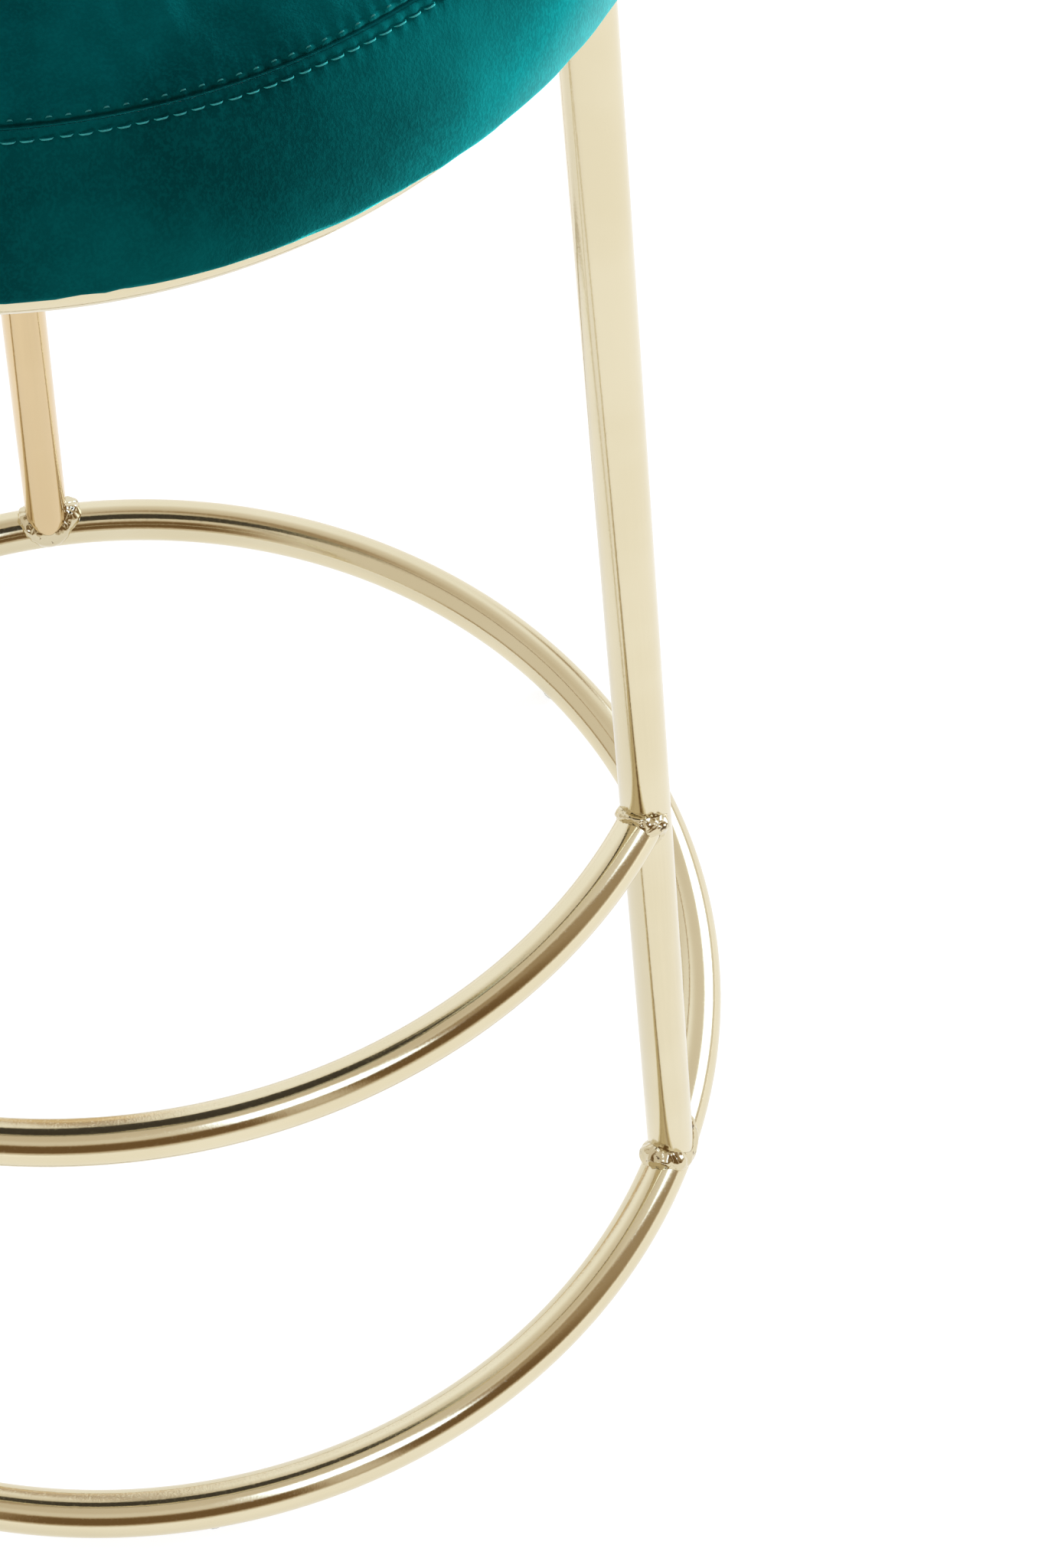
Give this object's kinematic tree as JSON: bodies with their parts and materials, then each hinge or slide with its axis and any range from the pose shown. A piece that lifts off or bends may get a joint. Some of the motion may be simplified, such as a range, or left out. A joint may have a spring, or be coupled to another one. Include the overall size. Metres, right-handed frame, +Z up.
{
  "type": "bar stool",
  "caption": "Round backless bar stool: teal velvet pad on a gold tube frame with three leaning legs, a ring base and an arched footrest.",
  "frame": {"origin": "On the floor under the middle of the base ring", "axes": "+Z up; -Y to the front, where the footrest arches out; +X to the right as seen from the front"},
  "size_m": [0.4319, 0.4328, 0.6601],
  "materials": {
    "gold_plate": "pale gold plating, polished",
    "weld_bead": "plated weld bead, lumpy",
    "clear_glide": "frosted clear plastic",
    "plywood": "raw plywood",
    "zinc": "zinc plated",
    "black_screw": "black oxide",
    "foam": "open cell foam",
    "wadding": "fibre wadding",
    "velvet": "teal velvet pile",
    "staple_wire": "galvanised wire",
    "dust_cloth": "black non-woven cloth"
  },
  "bodies": {
    "root": {"base_ring": "gold_plate", "leg_rear": "gold_plate", "leg_front_right": "gold_plate", "leg_front_left": "gold_plate", "footrest_arc": "gold_plate", "seat_hoop": "gold_plate", "seat_lugs": "gold_plate", "base_welds": "weld_bead", "footrest_welds": "weld_bead", "hoop_welds": "weld_bead", "lug_welds": "weld_bead", "floor_glides": "clear_glide", "seat_board": "plywood", "t_nuts": "zinc", "seat_screws": "black_screw", "screw_washers": "zinc", "foam_pad": "foam", "wadding": "wadding", "cover_top_panel": "velvet", "cover_side_band": "velvet", "cover_staples": "staple_wire", "dust_cover": "dust_cloth", "dust_staples": "staple_wire"}
  },
  "joints": []
}
